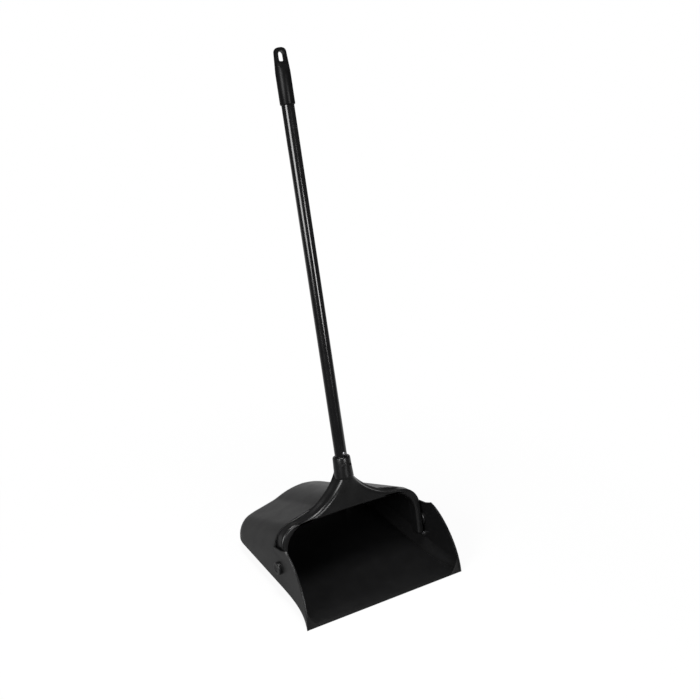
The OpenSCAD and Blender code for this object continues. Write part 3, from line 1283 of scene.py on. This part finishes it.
@dataclass
class Grip:
    """The hand grip with its flat eye for hanging."""

    foot: float = 779.0
    # Way in from the grip's radius, and height over its foot.
    foot_side: Profile = ((1.6, 0.0), (0.5, 0.7), (0.0, 2.0))
    length: float = 95.0
    radius: float = 13.1
    top_radius: float = 11.0
    top_round: float = 8.0
    top_steps: int = 8
    tube_radius: float = 11.12
    plug: float = 38.0
    eye_thick: float = 11.0
    taper: float = 16.0
    wedge_out: float = 1.0
    wedge_down: float = 1.5
    wedge_over: float = 5.0
    wedge_under: float = 30.0
    tool_half: float = 20.0
    hole_width: float = 12.8
    hole_length: float = 19.0
    hole_top: float = 6.0
    hole_rise: float = 1.8
    hole_corner: float = 3.0
    hole_steps: int = 16

    @property
    def hole(self) -> float:
        """Height of the hanging hole's place over the grip's foot."""
        return self.length - self.hole_top - self.hole_length

    def _blank(self) -> Piece:
        """Builds the round grip before its eye is flattened.

        Returns:
            The round grip.
        """
        end = self.length - self.plug
        profile = [(self.tube_radius, 0), *((self.radius - less, z) for less, z in self.foot_side),
                   (self.radius, self.hole - self.taper)]
        profile += oval((self.top_radius - self.top_round, self.length - self.top_round),
                        (self.top_round, self.top_round), (0, 90), self.top_steps)
        return spun("hand_grip_body", [*profile, (0, self.length), (0, end), (self.tube_radius, end)])

    def _wedge(self, sign: int) -> Piece:
        """Builds the wedge that is cut away from one flat of the eye.

        Args:
            sign: The flat's side, by the sign of y.

        Returns:
            The wedge.
        """
        half, over = self.eye_thick / 2, self.length + self.wedge_over
        outer = half + self.tool_half
        points = [(half, self.hole), (half, over), (outer, over), (outer, self.hole - self.wedge_under),
                  (self.radius + self.wedge_out, self.hole - self.taper - self.wedge_down)]
        wedge = outline_face("wedge", [Vector((-self.tool_half, sign * y, z)) for y, z in points])
        self._thicken(wedge, Vector((2 * self.tool_half, 0, 0)))
        return wedge

    def _slot(self) -> Piece:
        """Builds the tool that cuts the hanging hole, round above and flatter below.

        Returns:
            The tool.
        """
        corner, radius = self.hole_corner, self.hole_width / 2
        foot = self.hole + self.hole_rise + corner
        rim = []
        for centre, size, sweep in (((corner - radius, foot), corner, (180, 270)),
                                    ((radius - corner, foot), corner, (270, 360)),
                                    ((0, self.length - self.hole_top - radius), radius, (0, 180))):
            rim += oval(centre, (size, size), sweep, self.hole_steps)
        slot = outline_face("slot", [Vector((p.x, -self.tool_half, p.y)) for p in rim])
        self._thicken(slot, Vector((0, 2 * self.tool_half, 0)))
        return slot

    @staticmethod
    def _thicken(face: Piece, way: Vector) -> None:
        """Extrudes a flat face into a closed block.

        Args:
            face: The face.
            way: How far, in millimetres.
        """
        with editing(face):
            bpy.ops.mesh.extrude_region_move(TRANSFORM_OT_translate={"value": way * MM})
        outward(face)

    def build(self, stand: Matrix) -> Piece:
        """Builds the grip on the yoke's lean.

        Args:
            stand: The move from the yoke's upright frame to its place.

        Returns:
            The finished grip.
        """
        grip = self._blank()
        for sign in (-1, 1):
            cut(grip, self._wedge(sign))
        cut(grip, self._slot())
        soften(grip, width=0.9, segments=3, angle=30)
        turned(grip, stand @ Matrix.Translation((0, 0, self.foot * MM)))
        return grip


@dataclass
class HingeCap:
    """The round cap over a hinge pin's head, outside the wall."""

    radius: float = 11.5
    height: float = 5.6
    edge_round: float = 1.8
    edge_steps: int = 6
    # Radius and drop below the face.
    dish: Profile = ((7.3, 0.0), (6.5, 0.4), (5.7, 1.0), (1.6, 1.0), (0.9, 1.5), (0.0, 1.6))
    wall_x: float = 153.0
    hinge_height: float = 56.0

    def build(self, side: Side) -> Piece:
        """Builds one cap with its dished face.

        Args:
            side: The wall that it sits on.

        Returns:
            The finished cap.
        """
        edge = oval((self.radius - self.edge_round, self.height - self.edge_round),
                    (self.edge_round, self.edge_round), (0, 90), self.edge_steps)
        dish = [(radius, self.height - drop) for radius, drop in self.dish]
        cap = spun(f"cap_{side.word}", [(0, 0), (self.radius, 0), *edge, *dish])
        shade(cap, angle=35)
        laid(cap, (side.value * self.wall_x, 0, self.hinge_height), side.value)
        return cap


@dataclass
class Wheel:
    """A small rear wheel with a rounded tread and a dished hub."""

    radius: float = 11.0
    width: float = 12.0
    axle: float = 2.08
    # Radius and way in from the wheel's side.
    hub: Profile = ((3.6, 0.0), (4.0, 0.5), (4.2, 2.0), (6.6, 2.0), (7.0, 0.4), (7.6, 0.0))
    # Way in from the tread, and from the wheel's side.
    shoulder: Profile = ((2.0, 0.0), (0.7, 0.6), (0.0, 2.0))
    # Way in from the tread, and way out from the wheel's middle.
    groove: Profile = ((0.0, 0.8), (0.5, 0.4))
    track: float = 200.0
    y: float = 190.0

    def build(self, side: Side) -> Piece:
        """Builds one wheel on its axle.

        Args:
            side: The side that it runs on.

        Returns:
            The finished wheel.
        """
        half = self.width / 2
        profile = [(self.axle, half), *((radius, half - drop) for radius, drop in self.hub)]
        profile += [(self.radius - less, half - drop) for less, drop in self.shoulder]
        profile += [(self.radius - less, z) for less, z in self.groove]
        wheel = spun(f"tread_{side.word}", profile + [(radius, -z) for radius, z in reversed(profile)])
        shade(wheel, angle=40)
        laid(wheel, (side.value * self.track / 2, self.y, self.radius), 1)
        return wheel


@dataclass(frozen=True)
class Lamp:
    """One soft box, in metres and watts."""

    name: str
    place: Triple
    size: Pair
    power: float
    aim: Triple

    def build(self) -> None:
        """Adds the lamp, turned to what it lights."""
        data = bpy.data.lights.new(self.name, "AREA")
        data.shape = "RECTANGLE"
        data.size, data.size_y = self.size
        data.energy = self.power
        Studio.aimed(data, self.place, self.aim)


@dataclass
class Studio:
    """The white floor and backdrop, the soft lamps and the camera, in metres."""

    eye: Triple = (-0.8187, -1.3219, 1.1037)
    target: Triple = (-0.00861, 0.0, 0.43625)
    lens: float = 52.31
    sensor: float = 36.0
    floor_size: float = 4.0
    floor_middle: Triple = (0.0, 1.1, -0.0004)
    paper: float = 0.9
    rise_way: Triple = (0.6, 0.8, 0.0)
    rise_range: Pair = (-0.3, 0.7)
    floor_levels: Pair = (0.12, 0.8)
    fade_range: Pair = (0.2, 0.8)
    glow_shares: Pair = (0.9, 1.0)
    wall_level: float = 0.11
    fill_level: float = 0.15
    lamps: tuple[Lamp, ...] = (
        Lamp("top_box", (-0.25, -0.1, 2.4), (1.1, 0.45), 34.0, aim=(0, 0, 0.2)),
        Lamp("left_box", (-1.85, -0.75, 1.2), (1.0, 1.1), 42.0, aim=(0, 0.1, 0.5)),
        Lamp("front_box", (0.36, -2.17, 1.02), (0.55, 0.5), 16.0, aim=(0, 0.1, 0.5)))

    @staticmethod
    def aimed(data: bpy.types.ID, place: Triple, aim: Triple) -> Piece:
        """Adds a camera or lamp to the scene.

        Args:
            data: The camera or lamp.
            place: Where it stands.
            aim: The point that it faces.

        Returns:
            The object that holds it.
        """
        obj = bpy.data.objects.new(data.name, data)
        obj.location = place
        obj.rotation_euler = (Vector(aim) - Vector(place)).to_track_quat("-Z", "Y").to_euler()
        bpy.context.scene.collection.objects.link(obj)
        return obj

    def camera(self) -> None:
        """Adds the camera where the photograph was taken from."""
        data = bpy.data.cameras.new("photo_camera")
        data.lens = self.lens
        data.sensor_width = self.sensor
        data.sensor_fit = "HORIZONTAL"
        bpy.context.scene.camera = self.aimed(data, self.eye, self.target)

    @staticmethod
    def _shown(bench: Bench, level: float | Socket) -> tuple[Socket, Socket]:
        """Adds nodes that tell the camera's rays, reflections and plain light apart.

        Args:
            bench: The bench of the material or world.
            level: How bright a reflection sees the surface. The camera sees it at 1.

        Returns:
            That brightness, and a value that is 0 for plain light and 1 for all that is seen.
        """
        path = bench.add("LightPath", {}).outputs
        either = bench.maths("MAXIMUM", path["Is Camera Ray"], path["Is Glossy Ray"])
        seen = bench.maths("MAXIMUM", either, path["Is Transmission Ray"])
        return bench.maths("MAXIMUM", level, path["Is Camera Ray"]), seen

    def floor(self) -> None:
        """Adds the white floor, which keeps a soft shadow near the object."""
        floor = added("studio_floor", bpy.ops.mesh.primitive_plane_add, size=self.floor_size,
                      location=self.floor_middle)
        apply_place(floor)
        material = bpy.data.materials.new("white_floor")
        material.use_nodes = True
        nodes = material.node_tree.nodes
        nodes.remove(nodes["Principled BSDF"])
        bench = Bench(material.node_tree)
        place = bench.add("TexCoord", {}).outputs["Object"]
        slant = bench.add("VectorMath", {0: place, 1: self.rise_way}, operation="DOT_PRODUCT")
        room = bench.ramp(slant.outputs["Value"], self.rise_range, self.floor_levels)
        level, seen = self._shown(bench, room)
        away = bench.add("VectorMath", {0: place}, operation="LENGTH")
        fade = bench.ramp(away.outputs["Value"], self.fade_range, self.glow_shares, "SMOOTHSTEP")
        paper = bench.add("BsdfDiffuse", {"Color": (self.paper, self.paper, self.paper, 1)})
        glow = bench.add("Emission", {"Strength": level})
        mix = bench.add("MixShader", {"Fac": bench.maths("MULTIPLY", seen, fade), 1: paper.outputs["BSDF"],
                                      2: glow.outputs["Emission"]})
        bench.feed(nodes["Material Output"], {"Surface": mix.outputs["Shader"]})
        floor.data.materials.append(material)

    def world(self) -> None:
        """Sets a white backdrop and a faint fill."""
        world = bpy.data.worlds.new("white_room")
        bpy.context.scene.world = world
        world.use_nodes = True
        bench = Bench(world.node_tree)
        level, seen = self._shown(bench, self.wall_level)
        strength = bench.mix(seen, self.fill_level, level, kind="FLOAT")
        bench.feed(world.node_tree.nodes["Background"], {"Color": (1, 1, 1, 1), "Strength": strength})

    def build(self) -> None:
        """Sets up the whole studio."""
        self.camera()
        self.floor()
        self.world()
        for lamp in self.lamps:
            lamp.build()
        bpy.context.scene.view_settings.view_transform = "Standard"


def main() -> None:
    """Builds and dresses every part of the dustpan in its studio."""
    logging.basicConfig(level=logging.INFO, format="%(message)s")
    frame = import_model()
    Studio().build()
    dresser = Dresser(frame["nodes"])
    dresser.piece(Pan().build(), Body.PAN, PAN_PLASTIC, "pan")
    yoke = Yoke()
    dresser.piece(yoke.build(), Body.HANDLE, YOKE_PLASTIC, "yoke")
    dresser.piece(Grip().build(yoke.stand), Body.HANDLE, GRIP_PLASTIC, "hand_grip")
    wheels = {Side.LEFT: Body.WHEEL_LEFT, Side.RIGHT: Body.WHEEL_RIGHT}
    for side in Side:
        dresser.piece(HingeCap().build(side), Body.PAN, CAP_PLASTIC, f"hinge_cap_{side.word}")
        dresser.piece(Wheel().build(side), wheels[side], WHEEL_PLASTIC, f"wheel_{side.word}")
        for name in ("hinge_pin", "push_nut", "wall_stud", "axle"):
            dresser.node(f"{name}_{side.word}", STEEL)
    dresser.node("handle_tube", TUBE_COAT)
    dresser.node("stop_rivet", STEEL)


if __name__ == "__main__":
    main()
